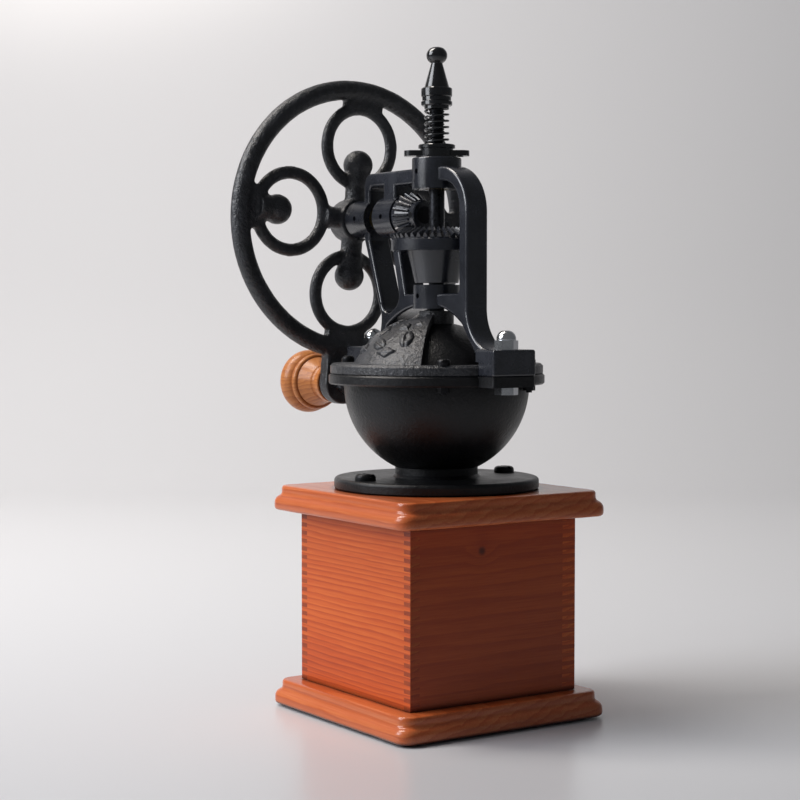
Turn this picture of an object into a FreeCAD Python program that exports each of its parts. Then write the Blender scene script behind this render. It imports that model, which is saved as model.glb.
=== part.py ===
import FreeCAD, Part
import math
import os

# Hand crank coffee grinder: a box-jointed wooden base with a grounds drawer, a cast-iron hopper
# bolted on top, and a cast arch that carries the upright grinding spindle and the flywheel crank.
# Millimetres, +Z up. The origin is on the spindle's axis at the level of the table.
# +X points to the flywheel, -Y is the front with the drawer.

os.makedirs("parts", exist_ok=True)
V = FreeCAD.Vector
UP = V(0, 0, 1)
ALONG_X = V(1, 0, 0)
ALONG_Y = V(0, 1, 0)

# ---- driving dimensions ----------------------------------------------------------------------
# Wooden base
plate_overhang = 12.5
plate_corner_r = 8.0
bullnose_h = 8.2
step_h = 5.0
step_inset = 2.8
felt_t = 0.8
felt_inset = 6.5
body_size = 100.0
body_h = 87.6
panel_t = 5.4
front_t = 8.0
finger_h = 2.1
wood_screw_r = 1.7

# Drawer
drawer_side_room = 13.0
drawer_h = 46.0
drawer_end_room = 16.0
drawer_wall = 5.0
drawer_front_t = 8.0
drawer_bottom_t = 3.0
drawer_gap = 0.5
drawer_knob_r = 9.0
drawer_knob_l = 16.0
drawer_knob_stem_r = 4.6

# Cast hopper
foot_flange_r = 52.0
foot_flange_t = 5.6
foot_screw_inset = 9.0
bowl_r = 47.0
bowl_wall = 4.0
neck_r = 21.0
neck_h = 5.0
housing_drop = 10.0
rim_flange_w = 7.7
rim_flange_t = 5.2
burr_seat_r = 17.5
throat_r = 15.5
burr_h = 17.0
burr_gap = 0.4

# Dome cover and filler door
cover_setback = 0.8
cover_flange_t = 5.3
dome_shoulder_w = 5.0
dome_h = 24.0
dome_wall = 2.8
door_wall = 1.8
door_gap = 0.5
dome_hub_r = 8.8
cover_screw_inset = 4.5
cover_screw_angle = 31.0
fixed_half_from = -45.0

# Arch (frame) casting, a flat rib section in the X-Z plane
arch_t = 13.0
leg_clearance = 5.0
leg_t = 7.2
crown_t = 7.7
crown_rise = 15.6
shoulder_r = 23.7
window_r = 14.0
web_rise = 7.6
foot_bolt_reach = 3.8
foot_overlap = 4.8
foot_reach = 10.9
foot_w = 25.2
foot_h = 13.0
notch_h = 7.0
boss_r = 12.5
upper_boss_h = 15.6
hub_gap = 1.05
lower_boss_h = 12.0
lower_boss_r = 11.8
crank_boss_r = 11.0
outer_boss_r = 10.2
bush_wall = 2.0
oil_hole_r = 1.3

# Spindle and bevel gears
spindle_r = 4.0
running_gap = 0.05
spindle_travel = 0.8
module_mm = 1.14
pinion_teeth = 20
gear_teeth = 40
face_w = 8.5
backlash = 0.14
crank_rise = 47.8
gear_rim_h = 5.6
gear_hub_r_low = 11.1
gear_hub_r_high = 14.9
gear_lift_spare = 0.2

# Crank and flywheel
shaft_r = 4.5
wheel_overhang = 7.5
inner_boss_l = 16.4
outer_boss_l = 18.2
outer_boss_reach = 5.2
rim_r = 69.8
rim_half_radial = 5.4
rim_half_axial = 4.65
ring_count = 4
ring_pcr = 39.8
ring_r = 20.4
ring_half_radial = 3.6
ring_half_axial = 3.0
hub_r = 11.5
hub_t = 14.0
ball_r = 8.1
ball_pcr_outer = 48.0
ball_pcr_inner = 30.0
wheel_turn = 5.5
handle_reach = 18.2
lug_r = 11.5
lug_t = 8.0
handle_bolt_r = 3.0
knob_r = 17.2
knob_l = 37.0

# Adjuster and finial
washer_t = 0.9
adjuster_r = 8.4
adjuster_h = 5.8
wing_span = 33.0
wing_w = 9.0
wing_t = 2.8
spring_r = 5.8
spring_wire_r = 0.6
spring_turns = 5.25
spring_l = 17.6
finial_h = 31.0

# Fasteners
cap_screw_r = 1.5
m6_r = 3.0
m6_across_flats = 10.0
m8_across_flats = 13.0
hole_gap = 0.25

# ---- levels worked out from the driving dimensions ---------------------------------------------
plate_size = body_size + 2 * plate_overhang
drawer_w = body_size - 2 * drawer_side_room
drawer_len = body_size - drawer_end_room
foot_screw_pcr = foot_flange_r - foot_screw_inset
handle_pcr = rim_r + handle_reach
plate_h = bullnose_h + step_h
plate_z = felt_t
body_z = plate_z + plate_h
top_plate_z = body_z + body_h
hopper_z = top_plate_z + plate_h
flange_top_z = hopper_z + foot_flange_t
rim_flange_r = bowl_r + rim_flange_w
cover_flange_r = rim_flange_r - cover_setback
cover_screw_pcr = rim_flange_r - cover_screw_inset
dome_r = bowl_r - dome_shoulder_w
foot_bolt_x = rim_flange_r + foot_bolt_reach
foot_x_in = rim_flange_r - foot_overlap
foot_x_out = rim_flange_r + foot_reach
bowl_centre_z = flange_top_z + neck_h + math.sqrt(bowl_r ** 2 - neck_r ** 2)
cover_z = bowl_centre_z + rim_flange_t
dome_z = cover_z + cover_flange_t
sphere_r = (dome_r ** 2 + dome_h ** 2) / (2 * dome_h)
sphere_z = dome_z + dome_h - sphere_r
hub_top_z = dome_z + dome_h + 2.4
foot_top_z = cover_z + foot_h
lower_boss_z = hub_top_z + hub_gap
web_z = lower_boss_z + web_rise
crank_z = lower_boss_z + crank_rise
crown_z = crank_z + crown_rise
crown_top_z = crown_z + crown_t
boss_top_z = crown_z - 3.1 + upper_boss_h
gear_pitch_r = module_mm * gear_teeth / 2
gear_lift = spindle_travel + gear_lift_spare
leg_x = gear_pitch_r + leg_clearance
leg_out_x = leg_x + leg_t
inner_boss_x0 = gear_pitch_r + 4.2
inner_boss_x1 = inner_boss_x0 + inner_boss_l
outer_boss_x1 = foot_x_out + outer_boss_reach
wheel_x = outer_boss_x1 + wheel_overhang
pinion_pitch_r = module_mm * pinion_teeth / 2
cone_a = math.hypot(gear_pitch_r, pinion_pitch_r)
housing_z = hopper_z - housing_drop
burr_top_z = flange_top_z + 3.1
burr_z = burr_top_z - burr_h
bush_r = spindle_r + bush_wall
crank_bush_r = shaft_r + bush_wall
half = body_size / 2


# ---- small helpers ---------------------------------------------------------------------------
def box(x0, x1, y0, y1, z0, z1):
    return Part.makeBox(x1 - x0, y1 - y0, z1 - z0, V(x0, y0, z0))


def cyl(r, z0, z1, x=0.0, y=0.0):
    return Part.makeCylinder(r, z1 - z0, V(x, y, z0), UP)


def cyl_x(r, x0, x1, y=0.0, z=crank_z):
    return Part.makeCylinder(r, x1 - x0, V(x0, y, z), ALONG_X)


def cyl_y(r, y0, y1, x, z):
    return Part.makeCylinder(r, y1 - y0, V(x, y0, z), ALONG_Y)


def hexagon(across_flats, z0, z1, x=0.0, y=0.0):
    corner = across_flats / math.sqrt(3)
    points = [V(x + corner * math.cos(math.radians(60 * i)), y + corner * math.sin(math.radians(60 * i)), z0)
              for i in range(7)]
    return Part.Face(Part.makePolygon(points)).extrude(V(0, 0, z1 - z0))


def outline(start, *steps):
    """A closed wire in the X-Z plane: a step (x, z) is a line, (mid x, mid z, x, z) is an arc."""
    edges = []
    here = V(start[0], 0, start[1])
    for step in steps + (start,):
        there = V(step[-2], 0, step[-1])
        if len(step) == 4:
            edges.append(Part.Arc(here, V(step[0], 0, step[1]), there).toShape())
        elif here.distanceToPoint(there) > 1e-6:
            edges.append(Part.makeLine(here, there))
        here = there
    return Part.Wire(edges)


def lathe(start, *steps):
    """A body turned about the Z axis from an outline of (radius, z) points."""
    return Part.Face(outline(start, *steps)).revolve(V(0, 0, 0), UP, 360)


def lathe_x(start, *steps):
    """A body turned about the crank's axis from an outline of (distance along X, radius) points."""
    turned = Part.Face(outline(start, *steps)).revolve(V(0, 0, 0), ALONG_X, 360)
    turned.translate(V(0, 0, crank_z))
    return turned


def turned_copy(shape, angle, axis=UP, centre=V(0, 0, 0)):
    copy = shape.copy()
    copy.rotate(centre, axis, angle)
    return copy


def fused(first, *others):
    return first.multiFuse(list(others)).removeSplitter()


def group(shapes):
    return Part.makeCompound(shapes)


def write(node, shape):
    solids = shape.Solids
    bad = [i for i, solid in enumerate(solids) if not solid.isValid() or not solid.isClosed()]
    box_now = shape.BoundBox
    print("%-24s solids %2d  faces %4d  vol %9.1f  z %6.1f..%6.1f%s" % (
        node, len(solids), len(shape.Faces), shape.Volume, box_now.ZMin, box_now.ZMax,
        "  BAD %s" % bad if bad else ""))
    shape.exportStep("parts/%s.step" % node)


def rounded_square(size, r, z0, z1):
    prism = box(-size / 2, size / 2, -size / 2, size / 2, z0, z1)
    uprights = [e for e in prism.Edges if abs(e.tangentAt(e.FirstParameter).z) > 0.9]
    return prism.makeFillet(r, uprights)


def rim_edges(shape, z):
    return [e for e in shape.Edges if abs(e.BoundBox.ZMin - z) < 1e-3 and abs(e.BoundBox.ZMax - z) < 1e-3]


def pan_screw(r, head_r, head_h, length):
    """A slotted pan-head screw: the head's underside is at z 0 and the shank runs down."""
    head = lathe((0, 0), (head_r, 0), (head_r, head_h * 0.45),
                 (head_r * 0.9, head_h * 0.8, head_r * 0.6, head_h), (0, head_h))
    shank = cyl(r, -length, 0)
    slot = box(-head_r - 1, head_r + 1, -head_r * 0.14, head_r * 0.14, head_h * 0.55, head_h + 1)
    return head.fuse(shank).cut(slot)


# ---- wooden base -----------------------------------------------------------------------------
def moulded_plate(z):
    """A square plate with a bullnose below and a narrower, rounded step above."""
    lower = rounded_square(plate_size, plate_corner_r, z, z + bullnose_h)
    lower = lower.makeFillet(bullnose_h * 0.52, rim_edges(lower, z + bullnose_h))
    lower = lower.makeFillet(bullnose_h * 0.24, rim_edges(lower, z))
    step_size = plate_size - 2 * step_inset
    upper = rounded_square(step_size, plate_corner_r, z + bullnose_h - 0.2, z + plate_h)
    upper = upper.makeFillet(step_h * 0.34, rim_edges(upper, z + plate_h))
    return fused(lower, upper)


def screw_places(inset):
    reach = half - inset
    return [(sx * reach, sy * reach) for sx in (-1, 1) for sy in (-1, 1)]


base_screw_inset = panel_t / 2
write("base_felt", rounded_square(plate_size - 2 * felt_inset, plate_corner_r, 0, felt_t))


def side_screw_places():
    """Screws that hold the plates to the middle of the two side panels and the back panel."""
    reach = half - base_screw_inset
    return [(-reach, -20.0), (-reach, 20.0), (reach, -20.0), (reach, 20.0)]


def wood_screw(z, sign):
    """A countersunk wood screw; its head is flush at z and its point runs towards sign."""
    head_r = wood_screw_r * 2
    length = plate_h + 9.0
    shape = lathe((0, 0), (head_r, 0), (wood_screw_r, wood_screw_r), (wood_screw_r, length * 0.8), (0, length))
    if sign < 0:
        shape.rotate(V(0, 0, 0), ALONG_X, 180)
    shape.translate(V(0, 0, z))
    return shape


base_screws = []
for x, y in side_screw_places():
    screw = wood_screw(plate_z, 1)
    screw.translate(V(x, y, 0))
    base_screws.append(screw)
write("base_screws", group(base_screws))
write("base_plate", moulded_plate(plate_z).cut(group(base_screws)))


def flange_screws():
    head_r = 5.2
    screws = []
    for side in (-1, 1):
        screw = pan_screw(2.2, head_r, 3.2, foot_flange_t + plate_h - 3.0)
        screw.translate(V(0, side * foot_screw_pcr, flange_top_z))
        screws.append(screw)
    return screws


mill_screws = flange_screws()
housing_hole = cyl(neck_r + hole_gap, top_plate_z - 1, hopper_z + 1)
write("flange_screws", group(mill_screws))
write("top_plate", moulded_plate(top_plate_z).cut(group([housing_hole] + mill_screws)))


def fingers(first, depth_y0, depth_y1, x0, x1):
    """Boxes of every second finger of a corner joint, from the bottom of the body upwards."""
    boxes = []
    count = int(round(body_h / finger_h))
    pitch = body_h / count
    for i in range(first, count, 2):
        z = body_z + i * pitch
        boxes.append(box(x0, x1, depth_y0, depth_y1, z, z + pitch))
    return boxes


def jointed_panel(x0, x1, y0, y1, corner_boxes):
    return box(x0, x1, y0, y1, body_z, top_plate_z).cut(group(corner_boxes))


inner = half - panel_t
side_cut_back = fingers(1, inner, half, -half, -inner)
side_cut_front = fingers(1, -half, -half + front_t, -half, -inner)
left_panel = jointed_panel(-half, -inner, -half, half, side_cut_back + side_cut_front)
right_panel = left_panel.mirror(V(0, 0, 0), ALONG_X)
screw_tools = group(base_screws)
write("left_panel", left_panel.cut(screw_tools))
write("right_panel", right_panel.cut(screw_tools))

back_cuts = fingers(0, inner, half, -half, -inner) + fingers(0, inner, half, inner, half)
write("back_panel", jointed_panel(-half, half, inner, half, back_cuts))

opening_w = drawer_w + 2 * drawer_gap
opening_z = body_z
opening_top = opening_z + drawer_h + 2 * drawer_gap
front_cuts = fingers(0, -half, -half + front_t, -half, -inner) + fingers(0, -half, -half + front_t, inner, half)
front_panel = jointed_panel(-half, half, -half, -half + front_t, front_cuts)
drawer_hole = box(-opening_w / 2, opening_w / 2, -half - 1, -half + front_t + 1, opening_z - 1, opening_top)
write("front_panel", front_panel.cut(drawer_hole))

guide_w = inner - opening_w / 2
guide_h = 12.0
guides = [box(opening_w / 2, inner, -half + front_t, inner, body_z, body_z + guide_h),
          box(-inner, -opening_w / 2, -half + front_t, inner, body_z, body_z + guide_h)]
write("drawer_guides", group(guides))

# ---- drawer ----------------------------------------------------------------------------------
drawer_z = opening_z + drawer_gap * 0.4
drawer_y = -half
drawer_back_y = drawer_y + drawer_len
side_h = drawer_h - 4.0
knob_z = drawer_z + drawer_h / 2
knob_screw_r = 2.0
drawer_front = box(-drawer_w / 2, drawer_w / 2, drawer_y, drawer_y + drawer_front_t, drawer_z, drawer_z + drawer_h)
drawer_front = drawer_front.cut(cyl_y(knob_screw_r, drawer_y - 1, drawer_y + drawer_front_t + 1, 0, knob_z))
write("drawer_front", drawer_front)
side_y0 = drawer_y + drawer_front_t
for name, sign in (("drawer_left_side", -1), ("drawer_right_side", 1)):
    edge = sorted((sign * drawer_w / 2, sign * (drawer_w / 2 - drawer_wall)))
    write(name, box(edge[0], edge[1], side_y0, drawer_back_y, drawer_z, drawer_z + side_h))
inside = drawer_w / 2 - drawer_wall
write("drawer_back", box(-inside, inside, drawer_back_y - drawer_wall, drawer_back_y, drawer_z, drawer_z + side_h))
write("drawer_bottom", box(-inside, inside, side_y0, drawer_back_y - drawer_wall,
                           drawer_z, drawer_z + drawer_bottom_t))

pull = lathe((0, 0), (drawer_knob_stem_r, 0), (drawer_knob_stem_r, drawer_knob_l * 0.35),
             (drawer_knob_r, drawer_knob_l * 0.55),
             (drawer_knob_r * 0.93, drawer_knob_l * 0.86, drawer_knob_r * 0.6, drawer_knob_l), (0, drawer_knob_l))
pull.rotate(V(0, 0, 0), ALONG_X, 90)
pull.translate(V(0, drawer_y, knob_z))
pull_screw_l = drawer_front_t + drawer_knob_l * 0.6
pull_screw = pan_screw(knob_screw_r, 3.8, 2.4, pull_screw_l)
pull_screw.rotate(V(0, 0, 0), ALONG_X, -90)
pull_screw.translate(V(0, side_y0, knob_z))
write("drawer_knob", pull.cut(pull_screw))
write("drawer_knob_screw", pull_screw)


# ---- cast hopper -----------------------------------------------------------------------------
def sphere_mid(r, z_centre, z0, z1):
    """A point on a sphere's outline half-way in angle between two heights, as (radius, z)."""
    a0 = math.asin((z0 - z_centre) / r)
    a1 = math.asin((z1 - z_centre) / r)
    mid = (a0 + a1) / 2
    return (r * math.cos(mid), z_centre + r * math.sin(mid))


def lug(sign, z0, z1):
    x = sorted((sign * bowl_r, sign * foot_x_out))
    slab = box(x[0], x[1], -foot_w / 2, foot_w / 2, z0, z1)
    ends = [e for e in slab.Edges if abs(e.tangentAt(e.FirstParameter).z) > 0.9
            and abs(abs(e.Vertexes[0].X) - foot_x_out) < 1e-3]
    return slab.makeFillet(1.6, ends)


bowl_inner_r = bowl_r - bowl_wall
bowl_low_z = bowl_centre_z - math.sqrt(bowl_r ** 2 - neck_r ** 2)
throat_z = bowl_centre_z - math.sqrt(bowl_inner_r ** 2 - throat_r ** 2)
bowl_mid = sphere_mid(bowl_r, bowl_centre_z, bowl_low_z, bowl_centre_z)
inner_mid = sphere_mid(bowl_inner_r, bowl_centre_z, throat_z, bowl_centre_z)
edge_r = 1.8
hopper = lathe(
    (burr_seat_r, housing_z), (neck_r, housing_z), (neck_r, hopper_z),
    (foot_flange_r - 0.6, hopper_z), (foot_flange_r, hopper_z + 0.6),
    (foot_flange_r, flange_top_z - edge_r),
    (foot_flange_r - edge_r * 0.29, flange_top_z - edge_r * 0.29, foot_flange_r - edge_r, flange_top_z),
    (neck_r + 1.5, flange_top_z), (neck_r, flange_top_z + 1.5), (neck_r, bowl_low_z),
    (bowl_mid[0], bowl_mid[1], bowl_r, bowl_centre_z),
    (rim_flange_r - 0.8, bowl_centre_z), (rim_flange_r, bowl_centre_z + 0.8),
    (rim_flange_r, cover_z - 0.8), (rim_flange_r - 0.8, cover_z), (bowl_inner_r, cover_z),
    (bowl_inner_r, bowl_centre_z), (inner_mid[0], inner_mid[1], throat_r, throat_z),
    (throat_r, burr_top_z), (burr_seat_r, burr_top_z))
bolt_places = [(-foot_bolt_x, 0.0), (foot_bolt_x, 0.0)]
cover_angles = [cover_screw_angle, 180 - cover_screw_angle, 180 + cover_screw_angle, -cover_screw_angle]
cover_places = [(cover_screw_pcr * math.cos(math.radians(a)), cover_screw_pcr * math.sin(math.radians(a)))
                for a in cover_angles]
bolt_holes = [cyl(m6_r + hole_gap, bowl_centre_z - 1, foot_top_z + 1, x, y) for x, y in bolt_places]
cover_holes = [cyl(cap_screw_r + hole_gap, bowl_centre_z - 1, dome_z + 1, x, y) for x, y in cover_places]
hopper = fused(hopper, lug(-1, bowl_centre_z, cover_z), lug(1, bowl_centre_z, cover_z))

grub_r = 1.6
grub_z = hopper_z - housing_drop / 2
grubs = [cyl_y(grub_r, burr_seat_r, neck_r, 0, grub_z), cyl_y(grub_r, -neck_r, -burr_seat_r, 0, grub_z)]
mill_holes = [cyl(2.2, hopper_z - 1, flange_top_z + 1, 0, side * foot_screw_pcr) for side in (-1, 1)]
hopper = hopper.cut(group(bolt_holes + cover_holes + grubs + mill_holes))
write("hopper", hopper)
write("burr_set_screws", group(grubs))

# ---- burrs -----------------------------------------------------------------------------------
flute_r = 1.0
inner_burr_low_r = throat_r - 1.7
inner_burr_high_r = 8.0
ring_low_r = inner_burr_low_r + burr_gap
ring_high_r = throat_r - 0.5


def flute(r0, z0, r1, z1, r):
    a = V(r0, 0, z0)
    b = V(r1, 0, z1)
    return Part.makeCylinder(r, a.distanceToPoint(b), a, b - a)


outer_flutes = [turned_copy(flute(ring_low_r + 0.6, burr_z + 3, ring_high_r + 0.8, burr_top_z + 1, flute_r),
                            15 * i, UP) for i in range(24)]
outer_burr = lathe((ring_low_r, burr_z), (burr_seat_r, burr_z), (burr_seat_r, burr_top_z),
                   (ring_high_r, burr_top_z), (ring_low_r, burr_z + 4))
write("outer_burr", outer_burr.cut(group(outer_flutes)))

inner_burr_z = burr_z - 0.5
inner_burr_top = burr_top_z + 2.0
inner_flutes = [turned_copy(flute(inner_burr_low_r + 0.3, inner_burr_z + 4, inner_burr_high_r + 0.2,
                                  inner_burr_top + 1, flute_r), 30 * i, UP) for i in range(12)]
inner_burr = lathe((spindle_r, inner_burr_z), (inner_burr_low_r, inner_burr_z),
                   (inner_burr_low_r, inner_burr_z + 4), (inner_burr_high_r, inner_burr_top),
                   (spindle_r, inner_burr_top))
write("inner_burr", inner_burr.cut(group(inner_flutes)))
burr_washer_t = 1.5
burr_nut_h = 5.0
burr_nut_z = inner_burr_z - burr_washer_t - burr_nut_h
write("burr_washer", cyl(8.0, inner_burr_z - burr_washer_t, inner_burr_z).cut(
    cyl(spindle_r, burr_nut_z, inner_burr_z + 1)))
write("burr_nut", hexagon(m8_across_flats, burr_nut_z, burr_nut_z + burr_nut_h).cut(
    cyl(spindle_r, burr_nut_z - 1, inner_burr_z)))
spindle_z = burr_nut_z - 1.5

# ---- dome cover and filler door ----------------------------------------------------------------
sphere_in_r = sphere_r - dome_wall
door_out_r = sphere_in_r - door_gap
door_in_r = door_out_r - door_wall
cover_in_r = math.sqrt(sphere_in_r ** 2 - (cover_z - sphere_z) ** 2)


def cap_shell(r_out, r_in, z_low):
    """A dome's shell above z_low between two spheres about the dome's centre."""
    outer = Part.makeSphere(r_out, V(0, 0, sphere_z))
    hollow = Part.makeSphere(r_in, V(0, 0, sphere_z))
    keep = cyl(rim_flange_r, z_low, sphere_z + sphere_r + 1)
    return outer.cut(hollow).common(keep)


def half_space(angle, extra=0.0):
    """The half of space on the left of a direction, which starts extra mm behind it."""
    reach = 2 * rim_flange_r
    slab = box(-reach, reach, -extra, reach, cover_z - 1, hub_top_z + 1)
    return turned_copy(slab, angle)


fixed_shell = cap_shell(sphere_r, sphere_in_r, cover_z).common(half_space(fixed_half_from))
cover_flange = lathe((cover_in_r, cover_z), (cover_flange_r - 0.5, cover_z), (cover_flange_r, cover_z + 0.5),
                     (cover_flange_r, dome_z - 1.2), (cover_flange_r - 1.2, dome_z), (cover_in_r, dome_z))
border_w = 3.4
border_h = 1.2
border_shell = cap_shell(sphere_r + border_h, sphere_in_r, dome_z - 0.4)
border = border_shell.common(half_space(fixed_half_from)).cut(half_space(fixed_half_from, -border_w))
hub_tube = cyl(dome_hub_r, sphere_z + door_in_r - 3.4, hub_top_z)
hub_hole = cyl(spindle_r + 1.0, cover_z, hub_top_z + 1)
dome_cover = fused(cover_flange, fixed_shell, border, hub_tube).cut(group([hub_hole] + cover_holes))
write("dome_cover", dome_cover)

door_z = cover_z + 0.6
door_shell = cap_shell(door_out_r, door_in_r, door_z)
door_overlap = 4.0
door_half = door_shell.common(half_space(fixed_half_from + 180.0, door_overlap))
pivot_ring = door_shell.common(cyl(dome_hub_r + 6.0, sphere_z, hub_top_z))
pivot_hole = cyl(dome_hub_r + door_gap, cover_z, hub_top_z + 1)
filler_door = fused(door_half, pivot_ring).cut(pivot_hole)
knob_azimuth = fixed_half_from - 12.0
knob_tilt = 42.0
door_pin_r = 1.5
door_knob_axis = V(math.sin(math.radians(knob_tilt)), 0, math.cos(math.radians(knob_tilt)))


def on_door(shape):
    """Places a shape drawn about Z, with z 0 on the door's outer face, at the knob's place."""
    shape.translate(V(0, 0, door_out_r))
    shape.rotate(V(0, 0, 0), ALONG_Y, knob_tilt)
    shape.rotate(V(0, 0, 0), UP, knob_azimuth)
    shape.translate(V(0, 0, sphere_z))
    return shape


door_pin = on_door(cyl(door_pin_r, -door_wall - 1.0, 0.5))
door_knob = on_door(lathe((0, -door_wall - 0.9), (door_pin_r, -door_wall - 0.9), (door_pin_r, 0.4), (3.0, 0.4),
                          (2.2, 2.6), (3.9, 4.8), (3.6, 7.0, 2.2, 8.0), (0, 8.0)))
write("filler_door", filler_door.cut(door_pin))
write("door_knob", door_knob)
ring_z = sphere_z + door_in_r - 3.2
clip_r = dome_hub_r + 3.6
write("door_retaining_ring", cyl(clip_r, ring_z, ring_z + 1.2).cut(cyl(dome_hub_r, ring_z - 1, ring_z + 2)))

cover_screws = []
cover_nuts = []
nut_h = 2.6
for x, y in cover_places:
    screw = pan_screw(cap_screw_r, 3.3, 3.2, cover_flange_t + rim_flange_t + nut_h + 1.0)
    screw.translate(V(x, y, dome_z))
    cover_screws.append(screw)
    nut = hexagon(5.5, bowl_centre_z - nut_h, bowl_centre_z, x, y)
    cover_nuts.append(nut.cut(cyl(cap_screw_r, bowl_centre_z - nut_h - 1, bowl_centre_z + 1, x, y)))
write("cover_screws", group(cover_screws))
write("cover_nuts", group(cover_nuts))


# ---- arch casting ----------------------------------------------------------------------------
post_in_x = outer_boss_x1 - outer_boss_l
crown_end_x = post_in_x + 5.4
rib_low_out_x = post_in_x - 10.6
rib_low_in_x = post_in_x - 14.4
rib_low_z = lower_boss_z - 2.9
rib_top_z = crank_z - 11.2
inner_rib_x = inner_boss_x0 - 1.0
inner_rib_t = 6.6
inner_rib_low_x = inner_rib_x - 7.3
strut_x0 = inner_boss_x0 + 1.6
strut_x1 = inner_boss_x1 - 3.8
leg_foot_out_x = foot_x_in - 2.9
leg_foot_in_x = foot_x_in - 7.4
skirt_z = lower_boss_z + 1.1
skirt_half_w = 9.0
leg_low_z = dome_z + 1.7
foot_join_z = foot_top_z - 3.0
arch_edge_r = 1.5
shoulder_cx = leg_out_x - shoulder_r
shoulder_cz = crown_top_z - shoulder_r
s45 = math.sin(math.radians(45))


def extruded(wire, t):
    face = Part.Face(wire)
    solid = face.extrude(V(0, t, 0))
    solid.translate(V(0, -t / 2, 0))
    return solid


arch_outer = outline(
    (-shoulder_cx, crown_top_z), (crown_end_x - 6.0, crown_top_z),
    (crown_end_x - 6.0 + 6.0 * s45, crown_top_z - 6.0 + 6.0 * s45, crown_end_x, crown_top_z - 6.0),
    (crown_end_x, rib_top_z), (rib_low_out_x, rib_low_z),
    (rib_low_out_x + 0.6, foot_top_z + 9.35, leg_foot_out_x, foot_top_z + 1.0), (foot_x_in + 2.0, foot_top_z),
    (foot_x_in + 2.0, leg_low_z), (leg_foot_in_x + 1.5, leg_low_z),
    (rib_low_out_x - 6.0, skirt_z - 10.0), ((rib_low_out_x - 6.0) * 0.61, skirt_z - 2.9, skirt_half_w, skirt_z),
    (-skirt_half_w, skirt_z), (-leg_x + 7.3, skirt_z - 3.3, -leg_out_x + 4.5, skirt_z - 9.3),
    (-leg_foot_in_x - 1.5, leg_low_z), (-foot_x_in - 2.0, leg_low_z), (-foot_x_in - 2.0, foot_top_z),
    (-leg_foot_out_x, foot_top_z + 1.0), (-leg_out_x - 0.22 * (leg_foot_out_x - leg_out_x), foot_top_z + 9.85, -leg_out_x, skirt_z + 0.5),
    (-leg_out_x, shoulder_cz),
    (-shoulder_cx - shoulder_r * s45, shoulder_cz + shoulder_r * s45, -shoulder_cx, crown_top_z))
window_cx = leg_x - window_r
window_cz = crown_z - window_r
main_window = outline(
    (-window_cx, crown_z), (strut_x0, crown_z), (strut_x0, crank_z), (inner_rib_x, rib_top_z - 1.0),
    (inner_rib_low_x, web_z), (-leg_x + 2.0, web_z), (-leg_x + 0.6, web_z + 0.6, -leg_x, web_z + 2.0),
    (-leg_x, window_cz),
    (-window_cx - window_r * s45, window_cz + window_r * s45, -window_cx, crown_z))
post_window = outline(
    (strut_x1, crown_z + 0.6), (post_in_x - 2.0, crown_z + 0.6),
    (post_in_x - 0.6, crown_z, post_in_x, crown_z - 1.4), (post_in_x, rib_top_z - 0.5),
    (rib_low_in_x + 2.6, skirt_z + 2.5), (rib_low_in_x - 1.7, skirt_z - 2.9, rib_low_in_x - 7.2, skirt_z - 1.1),
    (rib_low_in_x - 11.2, skirt_z + 1.5, rib_low_in_x - 12.6, skirt_z + 7.5),
    (inner_rib_x + inner_rib_t, rib_top_z - 1.0), (strut_x1, crank_z))


def flat_rims(solid, t):
    return [e for e in solid.Edges if abs(abs(e.BoundBox.YMin) - t / 2) < 1e-3
            and abs(e.BoundBox.YMax - e.BoundBox.YMin) < 1e-3]


arch = extruded(arch_outer, arch_t)
arch = arch.cut(extruded(main_window, arch_t + 2)).cut(extruded(post_window, arch_t + 2))
arch = arch.makeFillet(arch_edge_r, flat_rims(arch, arch_t))


def foot(sign):
    """A foot block with its lower inner corner cut back to clear the cover's flange."""
    x = sorted((sign * foot_x_in, sign * foot_x_out))
    block = box(x[0], x[1], -foot_w / 2, foot_w / 2, cover_z, foot_top_z)
    block = block.makeFillet(1.2, block.Edges)
    clearance = cyl(cover_flange_r + 0.7, cover_z - 1, cover_z + notch_h)
    return block.cut(clearance)


upper_boss = cyl(boss_r, boss_top_z - upper_boss_h, boss_top_z)
upper_boss = upper_boss.makeFillet(0.8, rim_edges(upper_boss, boss_top_z))
lower_boss_top = lower_boss_z + lower_boss_h
arch = fused(arch, foot(-1), foot(1), upper_boss, cyl(lower_boss_r, lower_boss_z, lower_boss_top),
             cyl_x(crank_boss_r, inner_boss_x0, inner_boss_x1), cyl_x(outer_boss_r, post_in_x, outer_boss_x1))
oil_y = boss_r + 1.0
oil_places = [(0.0, boss_top_z - 7.0), (0.0, lower_boss_z + 6.4),
              ((inner_boss_x0 + inner_boss_x1) / 2, crank_z), ((post_in_x + outer_boss_x1) / 2, crank_z)]
arch_bores = [cyl(bush_r, lower_boss_z - 1, boss_top_z + 1),
              cyl_x(crank_bush_r, inner_boss_x0 - 1, outer_boss_x1 + 1)]
oil_holes = [cyl_y(oil_hole_r, spindle_r, oil_y, x, z) for x, z in oil_places]
arch = arch.cut(group(arch_bores)).cut(group(oil_holes)).cut(group(bolt_holes))
write("arch_frame", arch)


def sleeve(r_out, r_in, z0, z1):
    return cyl(r_out, z0, z1).cut(cyl(r_in, z0 - 1, z1 + 1))


def sleeve_x(r_out, r_in, x0, x1):
    return cyl_x(r_out, x0, x1).cut(cyl_x(r_in, x0 - 1, x1 + 1))


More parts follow.
